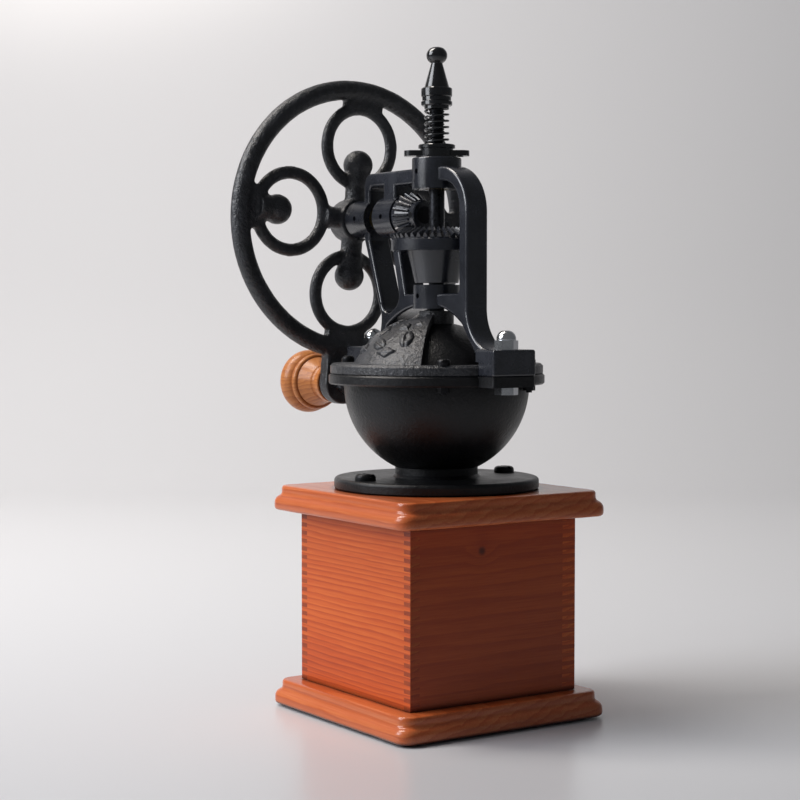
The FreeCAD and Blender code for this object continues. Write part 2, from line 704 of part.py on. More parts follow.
spindle_bore = spindle_r + running_gap
shaft_bore = shaft_r + running_gap
oil_tool = group(oil_holes)
write("upper_bush", sleeve(bush_r, spindle_bore, boss_top_z - upper_boss_h, boss_top_z).cut(oil_tool))
write("lower_bush", sleeve(bush_r, spindle_bore, lower_boss_z, lower_boss_top).cut(oil_tool))
write("inner_crank_bush", sleeve_x(crank_bush_r, shaft_bore, inner_boss_x0, inner_boss_x1).cut(oil_tool))
write("outer_crank_bush", sleeve_x(crank_bush_r, shaft_bore, post_in_x, outer_boss_x1).cut(oil_tool))

head_h = 3.6
acorn_h = 9.4
acorn_hex_h = 4.4
acorn_r = 4.7
bolts = []
acorns = []
for x, y in bolt_places:
    bolt = hexagon(m6_across_flats, bowl_centre_z - head_h, bowl_centre_z, x, y)
    bolts.append(bolt.fuse(cyl(m6_r, bowl_centre_z, foot_top_z + 5.6, x, y)))
    cap = lathe((0, acorn_hex_h - 0.4), (acorn_r, acorn_hex_h - 0.4), (acorn_r, acorn_hex_h),
                (acorn_r * 0.78, acorn_hex_h + (acorn_h - acorn_hex_h) * 0.72, 0, acorn_h))
    cap.translate(V(x, y, foot_top_z))
    acorn = hexagon(m6_across_flats, foot_top_z, foot_top_z + acorn_hex_h, x, y).fuse(cap)
    acorns.append(acorn.cut(cyl(m6_r, foot_top_z - 1, foot_top_z + 6.0, x, y)))
write("foot_bolts", group(bolts))
write("acorn_nuts", group(acorns))


# ---- bevel gears -----------------------------------------------------------------------------
def bevel_tooth(pitch_r, teeth, cone_deg):
    """One straight bevel tooth about Z with its apex at the origin, pointing along +X.

    The flanks are the involute of the equivalent spur gear on the back cone. Both ends lie in
    planes square to the pitch cone, and the inner end is the outer one scaled to the apex.
    """
    cone = math.radians(cone_deg)
    virtual_r = pitch_r / math.cos(cone)
    base_r = virtual_r * math.cos(math.radians(20))
    half_pitch = (math.pi * module_mm / 2 - backlash) / 2 / virtual_r
    involute = math.tan(math.radians(20)) - math.radians(20)

    def half_angle(r):
        if r <= base_r:
            return half_pitch + involute
        a = math.acos(base_r / r)
        return half_pitch + involute - (math.tan(a) - a)

    root = virtual_r - 1.7 * module_mm
    radii = [root, max(base_r, root + 0.1), virtual_r - 0.5 * module_mm, virtual_r,
             virtual_r + 0.5 * module_mm, virtual_r + 0.96 * module_mm]
    right = [(r * math.sin(half_angle(r)), r * math.cos(half_angle(r)) - virtual_r) for r in radii]
    profile = right + [(-u, v) for u, v in reversed(right)]
    pitch_z = pitch_r / math.tan(cone)
    out = V(math.cos(cone), 0, -math.sin(cone))

    def end(scale):
        points = [(V(pitch_r, 0, pitch_z) + out * v + V(0, u, 0)) * scale for u, v in profile]
        return Part.makePolygon(points + [points[0]])

    return Part.makeLoft([end(1.0), end(1.0 - face_w / cone_a)], True, True)


def bevel_teeth(pitch_r, teeth, cone_deg, first_deg):
    tooth = bevel_tooth(pitch_r, teeth, cone_deg)
    return [turned_copy(tooth, first_deg + 360.0 * i / teeth) for i in range(teeth)]


def bevel_blank(pitch_r, cone_deg):
    """The cone under the teeth, from the back cone to the inner end, as an outline about Z."""
    cone = math.radians(cone_deg)
    depth = 1.15 * module_mm
    points = []
    for scale in (1.0, 1.0 - face_w / cone_a):
        r = (pitch_r - depth * math.cos(cone)) * scale
        z = (pitch_r / math.tan(cone) + depth * math.sin(cone)) * scale
        points.append((r, z))
    return points


pinion_cone = math.degrees(math.atan2(pinion_pitch_r, gear_pitch_r))
gear_cone = 90.0 - pinion_cone

# Drawn about Z with the apex at the origin and the wide end up, then laid on the crank's axis.
nose_r = pinion_pitch_r - 4.0
nose_x = 10.5
back_x = inner_boss_x0 - 0.6
(wide_r, wide_z), (narrow_r, narrow_z) = bevel_blank(pinion_pitch_r, pinion_cone)
blank = lathe((0, nose_x), (nose_r - 0.5, nose_x), (nose_r, nose_x + 0.5), (nose_r, narrow_z - 0.4),
              (narrow_r, narrow_z), (wide_r, wide_z), (wide_r, back_x), (0, back_x))
pinion = blank.multiFuse(bevel_teeth(pinion_pitch_r, pinion_teeth, pinion_cone, 0.0))
pinion.rotate(V(0, 0, 0), ALONG_Y, 90)
pinion.translate(V(0, 0, crank_z))
pin_r = 1.5
pinion_pin = Part.makeCylinder(pin_r, 2 * nose_r, V(nose_x + 2.4, -nose_r, crank_z), ALONG_Y)
write("pinion", pinion.cut(cyl_x(shaft_r, nose_x - 1, back_x + 1)).cut(pinion_pin))

# Drawn with the apex at the origin and the teeth up, then turned over to look up at the pinion.
rim_z = crank_z - pinion_pitch_r - 1.7
gear_low_z = lower_boss_top + gear_lift
rim_low_z = rim_z - gear_rim_h
(wide_r, wide_z), (narrow_r, narrow_z) = bevel_blank(gear_pitch_r, gear_cone)
gear_rim_r = gear_pitch_r + 0.4
gear_bore = spindle_r
gear_blank = lathe(
    (gear_bore, gear_low_z), (gear_hub_r_low, gear_low_z), (gear_hub_r_high, rim_low_z),
    (gear_rim_r, rim_low_z), (gear_rim_r, rim_z - 0.2), (wide_r, crank_z - wide_z),
    (narrow_r, crank_z - narrow_z), (gear_bore, crank_z - narrow_z))
gear_toothing = group(bevel_teeth(gear_pitch_r, gear_teeth, gear_cone, 180.0 / gear_teeth))
gear_toothing.rotate(V(0, 0, 0), ALONG_X, 180)
gear_toothing.translate(V(0, 0, crank_z))
set_screw_z = gear_low_z + 4.0
set_screw_r = 2.0
set_screw = cyl_y(set_screw_r, -gear_hub_r_low, -spindle_r, 0, set_screw_z)
bevel_gear = gear_blank.multiFuse(gear_toothing.Solids).cut(set_screw)
write("bevel_gear", bevel_gear)
write("gear_set_screw", set_screw)

# ---- crank shaft and flywheel ------------------------------------------------------------------
hub_x0 = outer_boss_x1 + 1.2
hub_x1 = hub_x0 + hub_t
wheel_nut_h = 6.0
wheel_washer_t = 1.2
shaft_end_x = hub_x1 + wheel_washer_t + wheel_nut_h + 2.0
shaft = cyl_x(shaft_r, nose_x, shaft_end_x).cut(pinion_pin)
write("crank_shaft", shaft)
write("pinion_pin", pinion_pin)
write("crank_thrust_washer", sleeve_x(outer_boss_r - 0.6, shaft_r, outer_boss_x1 + 0.2, hub_x0))
wheel_washer = sleeve_x(hub_r - 1.5, shaft_r, hub_x1, hub_x1 + wheel_washer_t)
write("flywheel_washer", wheel_washer)
wheel_nut = hexagon(m8_across_flats + 1, 0, wheel_nut_h)
wheel_nut.rotate(V(0, 0, 0), ALONG_Y, 90)
wheel_nut.translate(V(hub_x1 + wheel_washer_t, 0, crank_z))
write("flywheel_nut", wheel_nut.cut(cyl_x(shaft_r, hub_x1, shaft_end_x + 1)))


def oval_ring(r, half_radial, half_axial, z):
    """A ring of oval section about an axis along X, through the height z in the wheel's plane."""
    corner_a = half_axial * s45
    corner_r = half_radial * s45
    section = Part.Face(outline(
        (-half_axial, r),
        (-corner_a, r + corner_r, 0, r + half_radial), (corner_a, r + corner_r, half_axial, r),
        (corner_a, r - corner_r, 0, r - half_radial), (-corner_a, r - corner_r, -half_axial, r)))
    ring = section.revolve(V(0, 0, 0), ALONG_X, 360)
    ring.translate(V(wheel_x, 0, z))
    return ring


def bulb(r_from, r_to):
    """A round-ended stalk along the wheel's radius: the ball sits at r_to."""
    ball = Part.makeSphere(ball_r, V(wheel_x, 0, crank_z + r_to))
    low = min(r_from, r_to)
    stalk = Part.makeCylinder(ball_r * 0.86, abs(r_to - r_from), V(wheel_x, 0, crank_z + low), UP)
    return ball.fuse(stalk)


centre_of_wheel = V(wheel_x, 0, crank_z)
wheel_parts = [cyl_x(hub_r, hub_x0, hub_x1)]
pad_half_w = 11.5
pad_low_r = ring_pcr + ring_r - 0.4
spoke_r = hub_t * 0.42
for i in range(ring_count):
    angle = 360.0 / ring_count * i
    ring = oval_ring(ring_r, ring_half_radial, ring_half_axial, crank_z + ring_pcr)
    join = box(wheel_x - ring_half_axial, wheel_x + ring_half_axial, -pad_half_w, pad_half_w,
               crank_z + pad_low_r, crank_z + rim_r - 2.0)
    inner_edge_r = ring_pcr - ring_r
    outer_edge_r = ring_pcr + ring_r
    if i % 2 == 0:
        ball = bulb(inner_edge_r, ball_pcr_inner)
    else:
        ball = bulb(outer_edge_r, ball_pcr_outer)
    spoke = Part.makeCylinder(spoke_r, inner_edge_r, centre_of_wheel, UP)
    for piece in (ring, join, ball, spoke):
        wheel_parts.append(turned_copy(piece, angle, ALONG_X, centre_of_wheel))
lug_x0 = wheel_x - lug_t / 2
lug_x1 = wheel_x + lug_t / 2
lug_end = cyl_x(lug_r, lug_x0, lug_x1, 0, crank_z - handle_pcr)
lug_arm = box(lug_x0, lug_x1, -lug_r, lug_r, crank_z - handle_pcr, crank_z - rim_r)
wheel_rim = oval_ring(rim_r, rim_half_radial, rim_half_axial, crank_z)
flywheel = fused(wheel_rim, *(wheel_parts + [lug_arm, lug_end]))
handle_hole = cyl_x(handle_bolt_r, lug_x0 - 1, lug_x1 + 1, 0, crank_z - handle_pcr)
flywheel = flywheel.cut(cyl_x(shaft_r, hub_x0 - 1, hub_x1 + 1)).cut(handle_hole)
write("flywheel", turned_copy(flywheel, wheel_turn, ALONG_X, centre_of_wheel))


def at_handle(shape):
    """Moves a shape drawn about the crank's axis to the handle's place on the turned wheel."""
    shape.translate(V(0, 0, -handle_pcr))
    shape.rotate(centre_of_wheel, ALONG_X, wheel_turn)
    return shape


collar_t = 2.0
knob_x0 = lug_x1 + collar_t + 0.4
knob_x1 = knob_x0 + knob_l
recess_l = 5.0
bolt_head_r = 5.0
knob_bore = handle_bolt_r + running_gap
waist_r = 8.4
foot_r = 10.8
bead_r = 14.6
bead_x = knob_x0 + knob_l * 0.5
knob = lathe_x(
    (knob_x0, 0), (knob_x0, foot_r - 0.5), (knob_x0 + 0.5, foot_r), (knob_x0 + 3.0, foot_r),
    (knob_x0 + 6.0, waist_r + 0.3, knob_x0 + 9.0, waist_r + 1.4),
    (bead_x - 2.0, bead_r - 1.2), (bead_x, bead_r + 0.7, bead_x + 2.0, bead_r - 0.4),
    (bead_x + 2.6, bead_r), (knob_x1 - 11.0, knob_r, knob_x1 - 6.0, knob_r - 1.4),
    (knob_x1 - 1.6, knob_r * 0.62, knob_x1, bolt_head_r + 1.0), (knob_x1, 0))
knob = knob.cut(cyl_x(knob_bore, knob_x0 - 1, knob_x1 + 1))
knob = knob.cut(cyl_x(bolt_head_r + 0.4, knob_x1 - recess_l, knob_x1 + 1))
write("handle_knob", at_handle(knob))
bolt_head_x = knob_x1 - recess_l + 0.3
handle_nut_h = 4.0
handle_bolt = cyl_x(handle_bolt_r, lug_x0 - handle_nut_h - 1.0, bolt_head_x)
handle_head = lathe_x((bolt_head_x, 0), (bolt_head_x, bolt_head_r), (bolt_head_x + 1.6, bolt_head_r),
                      (bolt_head_x + 3.0, bolt_head_r * 0.7, bolt_head_x + 3.4, 0))
slot = box(bolt_head_x + 1.8, bolt_head_x + 4, -bolt_head_r, bolt_head_r, crank_z - 0.6, crank_z + 0.6)
write("handle_bolt", at_handle(handle_bolt.fuse(handle_head).cut(slot)))
write("handle_collar", at_handle(sleeve_x(6.0, handle_bolt_r, lug_x1, lug_x1 + collar_t)))
handle_nut = hexagon(m6_across_flats, 0, handle_nut_h)
handle_nut.rotate(V(0, 0, 0), ALONG_Y, 90)
handle_nut.translate(V(lug_x0 - handle_nut_h, 0, crank_z))
write("handle_nut", at_handle(handle_nut.cut(cyl_x(handle_bolt_r, lug_x0 - handle_nut_h - 1, lug_x0 + 1))))

# ---- spindle, adjuster, spring and finial ------------------------------------------------------
adjuster_z = boss_top_z + washer_t
adjuster_top = adjuster_z + adjuster_h
spring_z = adjuster_top + spring_wire_r
finial_z = adjuster_top + spring_l + 0.2
spindle_top = finial_z + finial_h * 0.5
write("spindle", cyl(spindle_r, spindle_z, spindle_top).cut(set_screw))
write("thrust_washer", sleeve(adjuster_r + 2.0, spindle_bore, boss_top_z, adjuster_z))

adjuster_rim_r = adjuster_r + 1.0
adjuster = lathe((0, adjuster_z), (adjuster_r, adjuster_z), (adjuster_r, adjuster_top - 2.2),
                 (adjuster_rim_r, adjuster_top - 1.8), (adjuster_rim_r, adjuster_top - 0.4),
                 (adjuster_rim_r - 0.4, adjuster_top), (0, adjuster_top))
wing_half = wing_span / 2 - wing_w / 2
wings = box(-wing_half, wing_half, -wing_w / 2, wing_w / 2, adjuster_z, adjuster_z + wing_t)
wing_ends = [cyl(wing_w / 2, adjuster_z, adjuster_z + wing_t, sign * wing_half, 0) for sign in (-1, 1)]
adjuster = fused(adjuster, wings, *wing_ends).cut(cyl(spindle_bore, adjuster_z - 1, adjuster_top + 1))
wing_azimuth = 55.0
write("adjusting_nut", turned_copy(adjuster, wing_azimuth))

pitch = (spring_l - 2 * spring_wire_r) / spring_turns
helix = Part.makeHelix(pitch, pitch * spring_turns, spring_r)
wire_sides = 12
wire_section = []
for i in range(wire_sides + 1):
    angle = 2 * math.pi * i / wire_sides
    wire_section.append(V(spring_r + spring_wire_r * math.cos(angle), 0, spring_wire_r * math.sin(angle)))
section_wire = Part.makePolygon(wire_section)
coil = Part.Wire(helix).makePipeShell([section_wire], True, True)
coil.translate(V(0, 0, spring_z))
write("spring", coil)

f = finial_z
ball_low = f + finial_h - 8.2
finial = lathe(
    (0, f), (6.2, f), (6.2, f + 1.6), (7.4, f + 1.6), (7.85, f + 2.1), (7.85, f + 3.7), (7.3, f + 4.2),
    (7.3, f + 6.0), (7.8, f + 6.5), (7.8, f + 10.2), (7.3, f + 10.7), (6.3, f + 11.0),
    (2.9, ball_low + 0.2), (3.3, ball_low + 0.5),
    (5.3, ball_low + 4.2, 3.2, f + finial_h - 0.4), (2.2, f + finial_h), (0, f + finial_h))
write("finial", finial.cut(cyl(spindle_r, f - 1, spindle_top)))
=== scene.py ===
# %% [markdown]
# # A hand crank coffee grinder
# The grinder is a box-jointed wooden base, a cast-iron bowl with a domed lid, an arch that carries
# a bevel-geared spindle, and a scrolled flywheel with a wooden knob. The measured model comes
# first: it already has every solid piece in its right place. This script gives each piece the
# surface that its making would leave, and adds the relief and casting detail that is too soft for
# a drawing.

import math

import bmesh
import bpy
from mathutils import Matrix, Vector, noise


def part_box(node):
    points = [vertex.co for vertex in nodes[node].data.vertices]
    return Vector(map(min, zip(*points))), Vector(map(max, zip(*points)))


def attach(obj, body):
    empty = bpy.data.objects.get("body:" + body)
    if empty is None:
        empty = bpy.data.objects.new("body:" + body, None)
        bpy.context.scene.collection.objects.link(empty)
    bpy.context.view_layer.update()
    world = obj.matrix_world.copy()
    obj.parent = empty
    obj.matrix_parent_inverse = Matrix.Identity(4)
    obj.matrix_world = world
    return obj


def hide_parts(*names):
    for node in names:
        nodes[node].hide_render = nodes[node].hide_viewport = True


MM = 0.001
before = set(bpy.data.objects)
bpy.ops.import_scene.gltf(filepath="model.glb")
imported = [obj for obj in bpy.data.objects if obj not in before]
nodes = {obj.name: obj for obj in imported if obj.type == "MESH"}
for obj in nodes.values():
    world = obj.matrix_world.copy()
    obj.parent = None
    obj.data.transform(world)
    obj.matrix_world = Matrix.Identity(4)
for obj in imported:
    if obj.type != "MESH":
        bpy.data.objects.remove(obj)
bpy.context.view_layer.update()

# %% [markdown]
# ## Camera
# A still-life photographer stands back and uses a long lens, so that the upright lines of the
# grinder stay nearly parallel. A lens of 83 mm from a little under a metre does that. The camera
# is level with the bowl and looks slightly down.

# %% Camera
EYE = Vector((-0.7656, 0.5361, 0.2025))
LOOK = Vector((0.8297, -0.5568, -0.0464))
LENS_MM = 82.9
SENSOR_MM = 36.0

camera_data = bpy.data.cameras.new("still_life_lens")
camera_data.lens = LENS_MM
camera_data.sensor_width = SENSOR_MM
camera = bpy.data.objects.new("still_life_camera", camera_data)
camera.location = EYE
camera.rotation_euler = LOOK.to_track_quat("-Z", "Y").to_euler()
bpy.context.scene.collection.objects.link(camera)
bpy.context.scene.camera = camera
print("camera stands", round(EYE.length, 3), "m from the spindle's foot")

# %% [markdown]
# ## Colours and nodes
# Colours are written as they would be picked on a screen, in sRGB hex. Shaders work in linear
# light, so one function turns them. A second one adds a shader node, fills its sockets and
# properties, and joins it to the nodes before it, which keeps each material readable as a recipe.

# %% Helpers for materials
def linear(hex_colour):
    """An sRGB hex colour as the linear RGBA that a shader socket takes."""
    channels = [int(hex_colour[i:i + 2], 16) / 255 for i in (1, 3, 5)]
    return tuple(c / 12.92 if c <= 0.04045 else ((c + 0.055) / 1.055) ** 2.4 for c in channels) + (1.0,)


def add(tree, kind, settings=None, links=None, stops=None):
    """Adds one shader node. Names that are sockets are filled or linked; the rest are properties."""
    node = tree.nodes.new("ShaderNode" + kind)
    sockets = {}
    for name, value in (settings or {}).items():
        if hasattr(node, name):
            setattr(node, name, value)
        else:
            sockets[name] = value
    for name, value in sockets.items():
        find(node.inputs, name).default_value = value
    for name, output in (links or {}).items():
        tree.links.new(output, find(node.inputs, name))
    if stops:
        ramp = node.color_ramp.elements
        while len(ramp) < len(stops):
            ramp.new(0.5)
        for element, (place, value) in zip(ramp, stops):
            element.position = place
            element.color = linear(value) if isinstance(value, str) else (value, value, value, 1)
    return node


def find(sockets, name):
    """The socket with this identifier, or else with this name."""
    for s in sockets:
        if s.identifier == name:
            return s
    return sockets[name]


def new_material(name, **shader):
    """A material with one principled shader, its uniform values set on its own sockets."""
    material = bpy.data.materials.new(name)
    material.use_nodes = True
    tree = material.node_tree
    tree.nodes.clear()
    principled = add(tree, "BsdfPrincipled", shader)
    add(tree, "OutputMaterial", links={"Surface": principled.outputs["BSDF"]})
    return material, tree, principled


def finish(node_names, material):
    """Puts a material on carried-over pieces."""
    for name in node_names:
        slots = nodes[name].data.materials
        slots.clear()
        slots.append(material)


print("black paint in linear light:", [round(c, 4) for c in linear("#17181b")[:3]])

# %% [markdown]
# ## Painted cast iron
# The bowl, the lid and the flywheel are grey iron cast in sand, then sprayed with a matte black
# paint. The paint is thin, so the grain of the sand shows through it as bumps of about a
# millimetre, with finer grit between them. The tops of the bumps are painted a lighter blue-grey:
# a painted highlight for the speckles where the bumps catch the light. Two noises, one for each
# size, drive the bump; a third makes the paint's sheen uneven and its tone patchy.

# %% Painted cast iron
CLOUD_MM = 22  # the spray's uneven patches


def painted_casting(name, colour, patch_and_highlight, roughness, grain_mm, depth_mm, specular=0.5, grit=0.35):
    """Sand-cast iron under black paint. grain_mm is the width of the bumps that the sand leaves."""
    material, tree, shader = new_material(name, **{"IOR": 1.5, "Specular IOR Level": specular})
    place = add(tree, "TexCoord").outputs["Object"]
    grain = add(tree, "TexNoise", {"Scale": 1 / (grain_mm * 2 * MM), "Detail": 3.0, "Roughness": 0.6},
                {"Vector": place})
    fine = add(tree, "TexNoise", {"Scale": 1 / (grain_mm * 0.5 * MM), "Detail": 2.0}, {"Vector": place})
    cloud = add(tree, "TexNoise", {"Scale": 1 / (CLOUD_MM * MM), "Detail": 4.0, "Roughness": 0.65},
                {"Vector": place})
    tint = add(tree, "ValToRGB", links={"Fac": cloud.outputs["Fac"]}, stops=[(0.35, colour), (0.72, patch_and_highlight)])
    # The tops of the sand bumps take the lighter colour: a painted highlight for the speckles of light.
    highlight_peaks = add(tree, "ValToRGB", links={"Fac": grain.outputs["Fac"]}, stops=[(0.5, 0.0), (0.75, 1.0)])
    lift = add(tree, "Mix", {"data_type": "RGBA", "B_Color": linear(patch_and_highlight)},
               {"Factor_Float": highlight_peaks.outputs["Color"], "A_Color": tint.outputs["Color"]})
    sheen = add(tree, "MapRange", {"From Min": 0.3, "From Max": 0.7, "To Min": roughness - 0.07,
                                   "To Max": roughness + 0.1}, {"Value": cloud.outputs["Fac"]})
    bumps = add(tree, "Bump", {"Strength": 1.0, "Distance": depth_mm * MM}, {"Height": grain.outputs["Fac"]})
    rough = add(tree, "Bump", {"Strength": grit, "Distance": depth_mm * 0.5 * MM},
                {"Height": fine.outputs["Fac"], "Normal": bumps.outputs["Normal"]})
    tree.links.new(find(lift.outputs, "Result_Color"), shader.inputs["Base Color"])
    tree.links.new(sheen.outputs["Result"], shader.inputs["Roughness"])
    tree.links.new(rough.outputs["Normal"], shader.inputs["Normal"])
    return material


rough_casting = painted_casting("sand_cast_iron_matte_black_paint", "#0d0e11", "#2b2d33", 0.38, 1.3, 0.75,
                                specular=0.75)
bowl_casting = painted_casting("sand_cast_iron_fettled_black_paint", "#08080a", "#141518", 0.36, 0.8, 0.26,
                                specular=0.35)
arch_casting = painted_casting("die_cast_satin_charcoal_paint", "#181a20", "#262931", 0.22, 0.5, 0.04,
                                specular=0.9)
print("castings:", [m.name for m in (rough_casting, bowl_casting, arch_casting)])

# %% [markdown]
# ## Gloss enamel and blackened steel
# The finial, the spring and the adjusting nut are dipped in gloss black enamel. Its surface is
# smooth, with the faint waves of a liquid coat that dried. The screws are blackened steel.

# %% Enamel and black oxide
def smooth_coat(name, colour, second, roughness, wave_mm, wave_depth_mm, **shader):
    """A smooth finish with faint waves and a slow change of tone."""
    material, tree, principled = new_material(name, **shader)
    place = add(tree, "TexCoord").outputs["Object"]
    waves = add(tree, "TexNoise", {"Scale": 1 / (wave_mm * MM), "Detail": 2.0}, {"Vector": place})
    tint = add(tree, "ValToRGB", links={"Fac": waves.outputs["Fac"]}, stops=[(0.3, colour), (0.7, second)])
    sheen = add(tree, "MapRange", {"From Min": 0.3, "From Max": 0.7, "To Min": roughness * 0.8,
                                   "To Max": roughness * 1.3}, {"Value": waves.outputs["Fac"]})
    bump = add(tree, "Bump", {"Strength": 0.6, "Distance": wave_depth_mm * MM},
               {"Height": waves.outputs["Fac"]})
    tree.links.new(tint.outputs["Color"], principled.inputs["Base Color"])
    tree.links.new(sheen.outputs["Result"], principled.inputs["Roughness"])
    tree.links.new(bump.outputs["Normal"], principled.inputs["Normal"])
    return material


enamel = smooth_coat("gloss_black_enamel", "#0e0f11", "#16171a", 0.2, 4.0, 0.05,
                     **{"IOR": 1.5, "Coat Weight": 0.6})
black_oxide = smooth_coat("black_oxide_steel", "#141416", "#1f1f22", 0.38, 2.0, 0.04, Metallic=0.6)
chrome = smooth_coat("polished_chrome_plate", "#e6e8eb", "#f4f5f6", 0.14, 5.0, 0.01, Metallic=1.0)
steel = smooth_coat("turned_mild_steel", "#8d8f93", "#a9abae", 0.3, 1.0, 0.02, Metallic=1.0)
spindle_steel = smooth_coat("oiled_dark_spindle_steel", "#2b2c2f", "#3a3b3f", 0.3, 1.5, 0.02, Metallic=0.9)
bronze = smooth_coat("sintered_bearing_bronze", "#7d7355", "#94865e", 0.42, 0.8, 0.03, Metallic=1.0)
print("smooth finishes:", [m.name for m in (enamel, black_oxide, chrome, steel, bronze)])

# %% [markdown]
# ## Stained and lacquered softwood
# The base is pine with a red-orange stain under clear lacquer. The soft early wood drinks more
# stain than the hard late wood, so the growth rings show as bands 3 to 7 mm apart that wander
# along the board. Ends of the fibres, which show at the finger joints and on the ends of the
# plates, soak up the most and turn dark. The lacquer is a coat of its own with soft gloss.

# %% Wood
SLANT = 0.25  # how far the rings lean through the thickness of a board
WANDER_EVERY_MM = 30
PATCH_MM = 38
FIBRE_MM = 0.8
# how far the painted shade in grooves and inside corners reaches
GROOVE_SHADE_MM = 5
BOARD_STRETCH = 0.1  # patterns are this much slower along the board than across it
FIBRE_STRETCH = 0.03


def lacquered_wood(name, grain_axis, light, middle, dark, end_grain_and_shade_colour, ring_mm=4.0, gloss=0.16, coat=0.22,
                   shift=0.0, knot=None, bands=0.42, wander_mm=30, ends=0.6):
    """Stained wood with its fibres along grain_axis, in the model's own axes."""
    material, tree, shader = new_material(name, **{"IOR": 1.5, "Coat Weight": coat, "Coat Roughness": gloss,
                                                   "Specular IOR Level": 0.3})
    coords = add(tree, "TexCoord")
    stretch = [1.0, 1.0, 1.0]
    stretch["XYZ".index(grain_axis)] = BOARD_STRETCH
    fibre_stretch = [1.0, 1.0, 1.0]
    fibre_stretch["XYZ".index(grain_axis)] = FIBRE_STRETCH
    board = add(tree, "Mapping", {"Scale": stretch, "Location": (shift, shift * 0.7, shift * 1.3)},
                {"Vector": coords.outputs["Object"]})
    fibre = add(tree, "Mapping", {"Scale": fibre_stretch}, {"Vector": coords.outputs["Object"]})
    wander = add(tree, "TexNoise", {"Scale": 1 / (WANDER_EVERY_MM * MM), "Detail": 5.0, "Roughness": 0.6},
                 {"Vector": board.outputs["Vector"]})
    height = add(tree, "SeparateXYZ", links={"Vector": board.outputs["Vector"]})
    across = {"X": ("Z", "Y"), "Y": ("Z", "X"), "Z": ("X", "Y")}[grain_axis]
    depth = add(tree, "Math", {"operation": "MULTIPLY", "Value_001": SLANT},
                {"Value": height.outputs[across[1]]})
    level = add(tree, "Math", {"operation": "ADD"}, {"Value": height.outputs[across[0]],
                                                     "Value_001": depth.outputs["Value"]})
    bend = add(tree, "Math", {"operation": "MULTIPLY_ADD", "Value_001": wander_mm * MM},
               {"Value": wander.outputs["Fac"], "Value_002": level.outputs["Value"]})
    if knot:
        near = add(tree, "VectorMath", {"operation": "DISTANCE", "Vector_001": knot},
                   {"Vector": coords.outputs["Object"]})
        swell = add(tree, "MapRange", {"interpolation_type": "SMOOTHSTEP", "From Min": 1.5 * MM,
                                       "From Max": 12 * MM, "To Min": 6 * MM, "To Max": 0.0},
                    {"Value": near.outputs["Value"]})
        bend = add(tree, "Math", {"operation": "ADD"}, {"Value": bend.outputs["Value"],
                                                        "Value_001": swell.outputs["Result"]})
    rings = add(tree, "Math", {"operation": "MULTIPLY", "Value_001": 1 / (ring_mm * MM)},
                {"Value": bend.outputs["Value"]})
    saw = add(tree, "Math", {"operation": "FRACT"}, {"Value": rings.outputs["Value"]})
    band = add(tree, "ValToRGB", links={"Fac": saw.outputs["Value"]},
               stops=[(0.0, 0.05), (0.55, 0.45), (0.86, 1.0), (1.0, 0.05)])
    fibres = add(tree, "TexNoise", {"Scale": 1 / (FIBRE_MM * MM), "Detail": 4.0, "Roughness": 0.7},
                 {"Vector": fibre.outputs["Vector"]})
    patch = add(tree, "TexNoise", {"Scale": 1 / (PATCH_MM * MM), "Detail": 2.0},
                {"Vector": board.outputs["Vector"]})
    mixed = add(tree, "Math", {"operation": "MULTIPLY_ADD", "Value_001": 0.45, "Value_002": -0.12},
                {"Value": fibres.outputs["Fac"]})
    tone = add(tree, "Math", {"operation": "MULTIPLY_ADD", "Value_001": bands},
               {"Value": band.outputs["Color"], "Value_002": mixed.outputs["Value"]})
    tone2 = add(tree, "Math", {"operation": "MULTIPLY_ADD", "Value_001": 0.5},
                {"Value": patch.outputs["Fac"], "Value_002": tone.outputs["Value"]})
    stain = add(tree, "ValToRGB", links={"Fac": tone2.outputs["Value"]},
                stops=[(0.15, light), (0.5, middle), (0.95, dark)])
    if knot:
        core = add(tree, "MapRange", {"interpolation_type": "SMOOTHSTEP", "From Min": 0.6 * MM,
                                      "From Max": 3.2 * MM, "To Min": 0.8, "To Max": 0.0},
                   {"Value": near.outputs["Value"]})
        stain = add(tree, "Mix", {"data_type": "RGBA", "B_Color": linear(end_grain_and_shade_colour)},
                    {"Factor_Float": core.outputs["Result"], "A_Color": stain.outputs["Color"]})
        stained = find(stain.outputs, "Result_Color")
    else:
        stained = stain.outputs["Color"]
    normal = add(tree, "SeparateXYZ", links={"Vector": coords.outputs["Normal"]})
    facing = add(tree, "Math", {"operation": "ABSOLUTE"}, {"Value": normal.outputs[grain_axis]})
    end_grain = add(tree, "MapRange", {"From Min": 0.6, "From Max": 0.95, "To Max": ends},
                    {"Value": facing.outputs["Value"]})
    soaked_ends = add(tree, "Mix", {"data_type": "RGBA", "B_Color": linear(end_grain_and_shade_colour)},
                      {"Factor_Float": end_grain.outputs["Result"], "A_Color": stained})
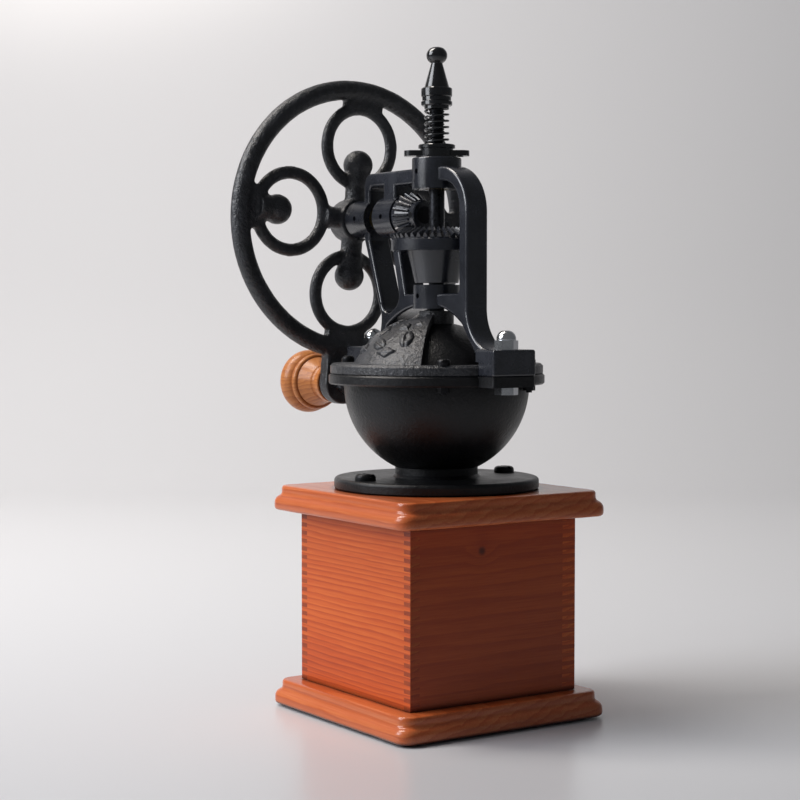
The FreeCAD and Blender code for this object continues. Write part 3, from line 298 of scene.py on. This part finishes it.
    # Grooves and inside corners darken toward the end colour by ambient occlusion: painted shade.
    corner = add(tree, "AmbientOcclusion", {"Distance": GROOVE_SHADE_MM * MM, "samples": 8})
    painted_groove_shade = add(tree, "MapRange", {"From Min": 0.45, "From Max": 0.85, "To Min": 0.9, "To Max": 0.0},
                 {"Value": corner.outputs["AO"]})
    shaded_grooves = add(tree, "Mix", {"data_type": "RGBA", "B_Color": linear(end_grain_and_shade_colour)},
                  {"Factor_Float": painted_groove_shade.outputs["Result"],
                   "A_Color": find(soaked_ends.outputs, "Result_Color")})
    sheen = add(tree, "MapRange", {"To Min": 0.34, "To Max": 0.5}, {"Value": fibres.outputs["Fac"]})
    bump = add(tree, "Bump", {"Strength": 0.35, "Distance": 0.06 * MM}, {"Height": fibres.outputs["Fac"]})
    ridge = add(tree, "Bump", {"Strength": 0.2, "Distance": 0.06 * MM},
                {"Height": band.outputs["Color"], "Normal": bump.outputs["Normal"]})
    tree.links.new(find(shaded_grooves.outputs, "Result_Color"), shader.inputs["Base Color"])
    tree.links.new(sheen.outputs["Result"], shader.inputs["Roughness"])
    tree.links.new(ridge.outputs["Normal"], shader.inputs["Normal"])
    return material


STAIN = ("#e0782c", "#ca5414", "#962f08", "#3c0f03")
# A darker copy of the stain for the side panels: painted shade for their face that is in shadow.
SHADED_SIDE_STAIN = ("#b8541a", "#98390c", "#701f05", "#340c03")
PLATE_STAIN = ("#dd8450", "#c5612f", "#8f3613", "#481506")
panel_x = lacquered_wood("pine_red_orange_stain_grain_x", "X", *STAIN, ring_mm=2.9, bands=0.34, wander_mm=10,
                         ends=0.5)
front_wood = lacquered_wood("pine_red_orange_stain_front", "X", *STAIN, ring_mm=2.9, bands=0.34, wander_mm=10,
                            ends=0.2, shift=0.017)
KNOT = (-0.050, 0.008, 0.088)
panel_y_shaded_side = lacquered_wood("pine_red_orange_stain_grain_y_painted_shade", "Y", *SHADED_SIDE_STAIN, ring_mm=7.0, shift=0.031,
                         knot=KNOT, bands=0.16, wander_mm=22, ends=0.12)
plate_wood = lacquered_wood("pine_moulding_red_stain", "X", *PLATE_STAIN, ring_mm=4.0, gloss=0.12,
                            coat=0.6, bands=0.25, wander_mm=16, ends=0.25)
BEECH = ("#c98549", "#b56f38", "#96562a", "#8a4d26")
RAW_PINE = ("#dcbd8b", "#cfa873", "#b48c58", "#9a7445")
knob_wood = lacquered_wood("turned_beech_lacquered", "X", *BEECH, ring_mm=3.0)
raw_wood = lacquered_wood("planed_pine_unstained", "Y", *RAW_PINE, coat=0.0)
print("woods:", [m.name for m in (panel_x, front_wood, panel_y_shaded_side, plate_wood, knob_wood, raw_wood)])

# %% [markdown]
# ## Felt
# A thin sheet of dark felt keeps the base from scratching the table. Felt is a mat of short
# fibres with no gloss, so it is a rough surface with a dense small bump.

# %% Felt
felt, tree, shader = new_material("pressed_wool_felt", **{"Roughness": 0.95, "Sheen Weight": 0.4})
place = add(tree, "TexCoord").outputs["Object"]
wool = add(tree, "TexNoise", {"Scale": 1 / (0.5 * MM), "Detail": 5.0}, {"Vector": place})
wool_tint = add(tree, "ValToRGB", links={"Fac": wool.outputs["Fac"]},
                stops=[(0.3, "#131212"), (0.7, "#2b2927")])
wool_bump = add(tree, "Bump", {"Distance": 0.3 * MM}, {"Height": wool.outputs["Fac"]})
tree.links.new(wool_tint.outputs["Color"], shader.inputs["Base Color"])
tree.links.new(wool_bump.outputs["Normal"], shader.inputs["Normal"])
print("felt:", felt.name)

# %% [markdown]
# ## The flywheel as a casting
# A drawn wheel has sharp lines where its rings meet the rim. In sand those lines fill with iron
# and come out as soft webs. Remeshing a copy of the drawn wheel in small cubes and relaxing it
# gives the same rounded joins, and a little noise pushed into it leaves the dents of the mould.
# The dents only go inwards, so the wheel keeps its measured size.

# %% Cast flywheel
def evaluated(piece):
    """The mesh that a piece has after its modifiers."""
    graph = bpy.context.evaluated_depsgraph_get()
    return bpy.data.meshes.new_from_object(piece.evaluated_get(graph))


def new_piece(name, mesh, body, material, smooth=True):
    """A finished mesh as a named piece that rides on a body."""
    piece = bpy.data.objects.new(name, mesh)
    bpy.context.scene.collection.objects.link(piece)
    mesh.materials.clear()
    mesh.materials.append(material)
    for face in mesh.polygons:
        face.use_smooth = smooth
    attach(piece, body)
    return piece


def softened(node, voxel_mm, relax, dent_mm, dent_depth_mm):
    """A remeshed copy of a drawn piece, with rounded joins and shallow dents."""
    draft = bpy.data.objects.new("draft", nodes[node].data.copy())
    bpy.context.scene.collection.objects.link(draft)
    cubes = draft.modifiers.new("cubes", "REMESH")
    cubes.mode = "VOXEL"
    cubes.voxel_size = voxel_mm * MM
    smooth = draft.modifiers.new("relax", "SMOOTH")
    smooth.factor = 0.5
    smooth.iterations = relax
    mesh = evaluated(draft)
    bpy.data.objects.remove(draft)
    normals = [v.normal.copy() for v in mesh.vertices]
    for vertex, normal in zip(mesh.vertices, normals):
        dent = noise.noise(vertex.co / (dent_mm * MM)) + 0.5 * noise.noise(vertex.co / (dent_mm * 0.4 * MM))
        vertex.co -= normal * dent_depth_mm * MM * (0.6 + 0.5 * dent)
    return mesh


wheel_mesh = softened("flywheel", 0.9, 5, 4.0, 0.16)
wheel = new_piece("cast_flywheel", wheel_mesh, "crank", rough_casting)
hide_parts("flywheel")
print("flywheel:", len(wheel.data.polygons), "faces")

# %% [markdown]
# ## Hand-sanded mouldings
# The two plates are routed and then sanded by hand, so their edges wave a little and no corner is
# quite sharp. The same way of remeshing and relaxing is used, with long shallow dents that are
# tens of millimetres apart.

# %% Moulded plates
for plate in ("base_plate", "top_plate"):
    body_mesh = softened(plate, 0.8, 1, 24.0, 0.32)
    sanded = new_piece("sanded_" + plate, body_mesh, "grinder_base", plate_wood)
    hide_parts(plate)
    print(plate, len(body_mesh.polygons), "faces")

# %% [markdown]
# ## Relief on the lid
# The fixed half of the dome is cast with leaves and coffee beans in low relief. It is a second
# skin: a grid of points on the dome's own sphere, each lifted by the height of the ornament there.
# Where there is no ornament the skin stays just under the iron and can't be seen.

# %% Beans and leaves on the dome
LEAF, BEAN = "leaf", "bean"
ORNAMENTS = [  # kind, azimuth, angle from the top, length mm, width mm, turn
    (BEAN, 117, 40, 12.0, 7.6, 78), (BEAN, 90, 45, 11.0, 7.0, 20), (BEAN, 45, 40, 12.0, 7.6, 90),
    (BEAN, 0, 45, 11.0, 7.0, -20), (BEAN, -27, 40, 12.0, 7.6, -78),
    (LEAF, 102, 28, 11.0, 5.4, 35), (LEAF, 104, 51, 13.0, 5.2, -8), (LEAF, 74, 34, 13.0, 6.0, 60),
    (LEAF, 66, 49, 14.0, 5.6, 8), (LEAF, 24, 49, 14.0, 5.6, -8), (LEAF, 16, 34, 13.0, 6.0, -60),
    (LEAF, -12, 28, 11.0, 5.4, -35), (LEAF, -14, 51, 13.0, 5.2, 8), (LEAF, 45, 25, 12.0, 5.6, 90),
    (LEAF, 122, 24, 8.0, 4.4, 60), (LEAF, -32, 24, 8.0, 4.4, -60)]
RELIEF_MM = 1.5
HIDDEN_MM = 0.5


def ornament_height(kind, along, across, length, width):
    """The height in mm of one ornament at a place measured from its middle, in mm."""
    u = along / (length / 2)
    half_width = width / 2
    if kind == LEAF:
        half_width *= max(0.05, 1 - abs(u) ** 1.7)  # a leaf narrows to a point at both ends
    w = across / half_width
    inside = 1 - u * u - w * w if kind == BEAN else min(1 - abs(u), 1.0) * 1.6 - w * w
    if inside <= 0:
        return -HIDDEN_MM
    crown = RELIEF_MM * math.sqrt(min(1.0, inside * 1.3))
    seam = math.exp(-(across / 0.55) ** 2)
    return crown - 0.75 * seam if kind == BEAN else crown * 0.7 + 0.35 * seam


def relief(azimuth, tilt, radius_mm):
    """The tallest ornament at a direction from the dome's centre, in mm above the dome."""
    tallest = -HIDDEN_MM
    for kind, az, angle, length, width, turn in ORNAMENTS:
        east = math.radians(azimuth - az) * math.sin(math.radians(tilt)) * radius_mm
        south = math.radians(tilt - angle) * radius_mm
        c, s = math.cos(math.radians(turn)), math.sin(math.radians(turn))
        along, across = east * c + south * s, south * c - east * s
        tallest = max(tallest, ornament_height(kind, along, across, length, width))
    return tallest


COLLAR_MM = 2.4  # the collar around the spindle stands this far above the dome's sphere
dome_radius_mm = 48.7
dome_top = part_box("dome_cover")[1].z
dome_centre = Vector((0, 0, dome_top - (dome_radius_mm + COLLAR_MM) * MM))
AZIMUTHS, TILTS = 250, 76
FROM_AZ, TO_AZ, FROM_TILT, TO_TILT = -40.5, 130.5, 15.0, 57.0
skin = bmesh.new()
rows = []
for i in range(AZIMUTHS + 1):
    azimuth = FROM_AZ + (TO_AZ - FROM_AZ) * i / AZIMUTHS
    row = []
    for j in range(TILTS + 1):
        tilt = FROM_TILT + (TO_TILT - FROM_TILT) * j / TILTS
        a, t = math.radians(azimuth), math.radians(tilt)
        direction = Vector((math.sin(t) * math.cos(a), math.sin(t) * math.sin(a), math.cos(t)))
        ground = dome_centre + direction * dome_radius_mm * MM
        edge = min(i, AZIMUTHS - i, j, TILTS - j) == 0
        lift = -HIDDEN_MM if edge else relief(azimuth, tilt, dome_radius_mm)
        lift += 0.3 * noise.noise(ground / (2.4 * MM)) + 0.12 * noise.noise(ground / (0.9 * MM))
        row.append(skin.verts.new(ground + direction * lift * MM))
    rows.append(row)
for i in range(AZIMUTHS):
    for j in range(TILTS):
        skin.faces.new((rows[i][j], rows[i][j + 1], rows[i + 1][j + 1], rows[i + 1][j]))
rims = [e for e in skin.edges if e.is_boundary]
inner = bmesh.ops.extrude_edge_only(skin, edges=rims)["geom"]
for vertex in [g for g in inner if isinstance(g, bmesh.types.BMVert)]:
    vertex.co -= (vertex.co - dome_centre).normalized() * 0.9 * MM
bmesh.ops.contextual_create(skin, geom=[e for e in skin.edges if e.is_boundary])
bmesh.ops.recalc_face_normals(skin, faces=skin.faces)
relief_mesh = bpy.data.meshes.new("dome_relief")
skin.to_mesh(relief_mesh)
skin.free()
dome_relief = new_piece("dome_relief", relief_mesh, "grinder_base", rough_casting)
print("relief:", len(ORNAMENTS), "ornaments,", len(relief_mesh.polygons), "faces")

# %% [markdown]
# ## Thread on the spindle
# Above the arch the spindle is cut with a fine thread that the adjusting nut climbs. Rows of
# points around the rod move in and out as a wave that climbs one pitch for each turn, which is
# what a thread is. Below the thread the rod is plain.

# %% Threaded spindle
def threaded_rod(low, high, thread_low, thread_high, radius_mm, pitch_mm, depth_mm, sides=28, per_pitch=8):
    """A closed rod along Z with a thread between two heights, in metres."""
    heights = [low, low + 0.6 * MM, thread_low - 0.5 * MM]
    count = int((thread_high - thread_low) / (pitch_mm * MM / per_pitch))
    heights += [thread_low + (thread_high - thread_low) * i / count for i in range(count + 1)]
    heights += [high - 0.6 * MM, high]
    rod = bmesh.new()
    loops = []
    for height in heights:
        loop = []
        for k in range(sides):
            a = 2 * math.pi * k / sides
            radius = radius_mm - (0.5 if height in (low, high) else 0.0)
            if thread_low <= height <= thread_high:
                phase = height / (pitch_mm * MM) - k / sides
                radius -= depth_mm * (0.5 - 0.5 * math.cos(2 * math.pi * phase))
            loop.append(rod.verts.new((radius * MM * math.cos(a), radius * MM * math.sin(a), height)))
        loops.append(loop)
    for below, above in zip(loops, loops[1:]):
        for k in range(sides):
            n = (k + 1) % sides
            rod.faces.new((below[k], below[n], above[n], above[k]))
    rod.faces.new(list(reversed(loops[0])))
    rod.faces.new(loops[-1])
    mesh = bpy.data.meshes.new("rod")
    rod.to_mesh(mesh)
    rod.free()
    return mesh


rod_low, rod_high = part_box("spindle")
nut_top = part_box("adjusting_nut")[1].z
finial_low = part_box("finial")[0].z
PITCH_MM, THREAD_DEPTH_MM = 1.25, 0.55
UNDER_NUT_MM, INTO_FINIAL_MM = 4, 3
rod_mesh = threaded_rod(rod_low.z, rod_high.z, nut_top - UNDER_NUT_MM * MM, finial_low + INTO_FINIAL_MM * MM,
                        rod_high.x / MM, PITCH_MM, THREAD_DEPTH_MM)
rod = new_piece("threaded_spindle", rod_mesh, "grinding_spindle", spindle_steel)
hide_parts("spindle")
print("spindle:", round(rod_high.z - rod_low.z, 4), "m long")

# %% [markdown]
# ## Finishes on the carried-over pieces

# %% Put the finishes on
finish(["base_felt"], felt)
finish(["back_panel"], panel_x)
finish(["front_panel", "drawer_front"], front_wood)
# The side panels take the darker copy of the stain: painted shade.
finish(["left_panel", "right_panel"], panel_y_shaded_side)
finish(["base_plate", "top_plate"], plate_wood)
finish(["handle_knob", "drawer_knob"], knob_wood)
finish(["drawer_left_side", "drawer_right_side", "drawer_back", "drawer_bottom", "drawer_guides"], raw_wood)
finish(["hopper", "filler_door"], bowl_casting)
finish(["dome_cover"], rough_casting)
finish(["arch_frame", "pinion", "bevel_gear"], arch_casting)
finish(["thrust_washer", "adjusting_nut", "spring", "finial", "door_knob"], enamel)
finish(["flange_screws", "cover_screws", "cover_nuts", "crank_shaft", "pinion_pin", "gear_set_screw"],
       black_oxide)
finish(["foot_bolts", "acorn_nuts", "flywheel_nut"], chrome)
finish(["upper_bush", "lower_bush", "inner_crank_bush", "outer_crank_bush"], bronze)
finishes = {m.name for m in (felt, panel_x, front_wood, panel_y_shaded_side, plate_wood, knob_wood, raw_wood,
                             bowl_casting, rough_casting, arch_casting, enamel, black_oxide, chrome, bronze)}
done = {n for n, o in nodes.items() if o.data.materials and o.data.materials[0].name in finishes}
left_over = sorted(set(nodes) - done)
finish(left_over, steel)
print("steel pieces:", left_over)

# %% [markdown]
# ## Floor, backdrop and light
# The grinder stands on one pale sheet that curves up behind it, so there is no line between floor
# and wall. A large soft light stands to the left and above, a second one brightens only the
# backdrop, and the room gives a weak fill.

# %% Floor and backdrop
def stage_sheet(name, mesh, colour, roughness):
    """A plain sheet of the set, with its own faintly uneven surface."""
    for face in mesh.polygons:
        face.use_smooth = True
    sheet = bpy.data.objects.new(name, mesh)
    bpy.context.scene.collection.objects.link(sheet)
    sheet_material, sheet_tree, sheet_shader = new_material(name + "_laminate", **{"Specular IOR Level": 0.4})
    where = add(sheet_tree, "TexCoord").outputs["Object"]
    mottle = add(sheet_tree, "TexNoise", {"Scale": 6.0, "Detail": 3.0}, {"Vector": where})
    gloss = add(sheet_tree, "MapRange", {"To Min": roughness * 0.99, "To Max": roughness * 1.01},
                {"Value": mottle.outputs["Fac"]})
    sheet_shader.inputs["Base Color"].default_value = linear(colour)
    sheet_tree.links.new(gloss.outputs["Result"], sheet_shader.inputs["Roughness"])
    sheet.data.materials.append(sheet_material)
    return sheet


FLOOR_NEAR, FLOOR_FAR, HALF_WIDTH, WALL_TOP, COVE = -3.0, 2.0, 4.0, 4.0, 0.9
away = Vector((LOOK.x, LOOK.y, 0)).normalized()
side = Vector((away.y, -away.x, 0))
profile = [(FLOOR_NEAR, 0.0), (FLOOR_FAR - COVE, 0.0)]
profile += [(FLOOR_FAR - COVE + COVE * math.sin(a), COVE - COVE * math.cos(a))
            for a in (math.pi / 2 * i / 24 for i in range(1, 25))]
profile.append((FLOOR_FAR, WALL_TOP))
cove = bmesh.new()
edges = [[cove.verts.new(away * along + side * reach + Vector((0, 0, up))) for along, up in profile]
         for reach in (-HALF_WIDTH, HALF_WIDTH)]
for i in range(len(profile) - 1):
    cove.faces.new((edges[0][i], edges[1][i], edges[1][i + 1], edges[0][i + 1]))
cove_mesh = bpy.data.meshes.new("paper_sweep")
cove.to_mesh(cove_mesh)
cove.free()
stage_sheet("paper_sweep", cove_mesh, "#d2d3d6", 0.28)
print("sweep:", len(cove_mesh.polygons), "faces")

# %% Lights and room
def soft_light(name, toward, distance, size, power, colour):
    """A square soft box that faces the middle of the grinder."""
    middle = Vector((0, 0, 0.16))
    data = bpy.data.lights.new(name, "AREA")
    data.size = size
    data.energy = power
    data.color = linear(colour)[:3]
    light = bpy.data.objects.new(name, data)
    light.location = middle + Vector(toward).normalized() * distance
    light.rotation_euler = (middle - light.location).to_track_quat("-Z", "Y").to_euler()
    bpy.context.scene.collection.objects.link(light)
    return light


soft_light("window_left", (0.35, 1.0, 0.55), 1.7, 1.0, 22.0, "#f6f9ff")
wall_light = soft_light("wall_wash", (0.75, 0.55, 1.5), 1.5, 0.9, 32.0, "#fff8f1")
backdrop = away * FLOOR_FAR + Vector((0, 0, 0.3))
wall_light.rotation_euler = (backdrop - wall_light.location).to_track_quat("-Z", "Y").to_euler()
world = bpy.data.worlds.new("pale_room")
world.use_nodes = True
bpy.context.scene.world = world
world.node_tree.nodes["Background"].inputs["Color"].default_value = linear("#e9edf2")
world.node_tree.nodes["Background"].inputs["Strength"].default_value = 0.12
bpy.context.scene.view_settings.view_transform = "Standard"
